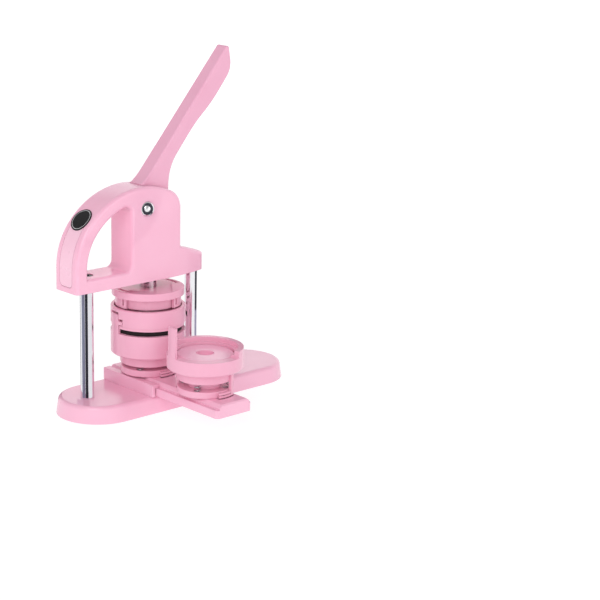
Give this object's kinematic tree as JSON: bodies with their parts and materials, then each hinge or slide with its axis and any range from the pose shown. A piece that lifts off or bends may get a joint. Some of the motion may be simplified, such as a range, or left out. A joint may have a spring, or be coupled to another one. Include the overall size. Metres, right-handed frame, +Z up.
{
  "type": "button badge maker press",
  "caption": "Pink hand-lever button badge press with an arched head on chrome posts and a sliding tray carrying two sprung badge dies.",
  "frame": {"origin": "on the table under the ram's axis, on the anti-slip mat's underside", "axes": "+Z up, +X along the base towards the side the lever is pulled to, +Y along the tray's slide"},
  "size_m": [0.292, 0.187, 0.3762],
  "materials": {
    "pink_plastic": "satin moulded",
    "cover_strip": "fine matt",
    "label_black": "gloss film",
    "plated_steel": "polished plating",
    "zinc_steel": "zinc plated",
    "spring_steel": "drawn wire",
    "bush_bronze": "machined",
    "black_rubber": "fine grain"
  },
  "bodies": {
    "frame": {"base_shell": "pink_plastic", "anti_slip_mat": "black_rubber", "left_post": "plated_steel", "right_post": "plated_steel", "lower_post_bolts": "zinc_steel", "upper_post_bolts": "zinc_steel", "head_body": "pink_plastic", "arch_cover_strip": "cover_strip", "round_label": "label_black", "ram_bush": "bush_bronze", "pivot_bolt": "plated_steel", "pivot_cap_nut": "plated_steel", "left_guide_rail": "pink_plastic", "right_guide_rail": "pink_plastic", "guide_rail_screws": "zinc_steel", "tray_stop_pin": "zinc_steel", "return_spring": "spring_steel"},
    "lever": {"lever_handle": "pink_plastic", "lever_bush": "bush_bronze"},
    "ram": {"ram_shaft": "plated_steel", "ram_collar": "zinc_steel", "ram_clip": "zinc_steel", "upper_die_plate": "pink_plastic", "upper_die_skirt": "pink_plastic", "upper_die_cup": "pink_plastic", "upper_die_pusher": "pink_plastic", "upper_die_screw": "zinc_steel"},
    "tray": {"die_tray": "pink_plastic", "die_a_flange": "pink_plastic", "die_a_core": "pink_plastic", "die_a_screw": "zinc_steel", "die_a_springs": "spring_steel", "die_b_flange": "pink_plastic", "die_b_core": "pink_plastic", "die_b_screw": "zinc_steel", "die_b_springs": "spring_steel"},
    "sleeve_a": {"die_a_sleeve": "pink_plastic", "die_a_ring_springs": "black_rubber"},
    "ring_a": {"die_a_ring": "pink_plastic"},
    "sleeve_b": {"die_b_sleeve": "pink_plastic"}
  },
  "joints": [
    {"name": "lever_hinge", "type": "hinge", "parent": "frame", "child": "lever", "pos_m": [-0.0155, 0, 0.2153], "axis": [0, 1, 0], "range_deg": [0, 40.1]},
    {"name": "ram_slide", "type": "slide", "parent": "frame", "child": "ram", "axis": [0, 0, -1], "range_m": [0, 0.0109], "stiffness_N_per_m": 3000, "springref_m": -0.008, "deforming": ["return_spring"]},
    {"name": "tray_slide", "type": "slide", "parent": "frame", "child": "tray", "axis": [0, 1, 0], "range_m": [0, 0.0945]},
    {"name": "sleeve_a_slide", "type": "slide", "parent": "tray", "child": "sleeve_a", "axis": [0, 0, -1], "range_m": [0, 0.0037], "stiffness_N_per_m": 1500, "springref_m": -0.004, "deforming": ["die_a_springs"]},
    {"name": "ring_a_slide", "type": "slide", "parent": "sleeve_a", "child": "ring_a", "axis": [0, 0, -1], "range_m": [0, 0.002], "stiffness_N_per_m": 900, "springref_m": -0.003, "deforming": ["die_a_ring_springs"]},
    {"name": "sleeve_b_slide", "type": "slide", "parent": "tray", "child": "sleeve_b", "axis": [0, 0, -1], "range_m": [0, 0.0077], "stiffness_N_per_m": 1000, "springref_m": -0.004, "deforming": ["die_b_springs"]}
  ],
  "couplings": [
    {"joint": "ram_slide", "follows": "lever_hinge", "m_per_rad": 0.0155}
  ]
}
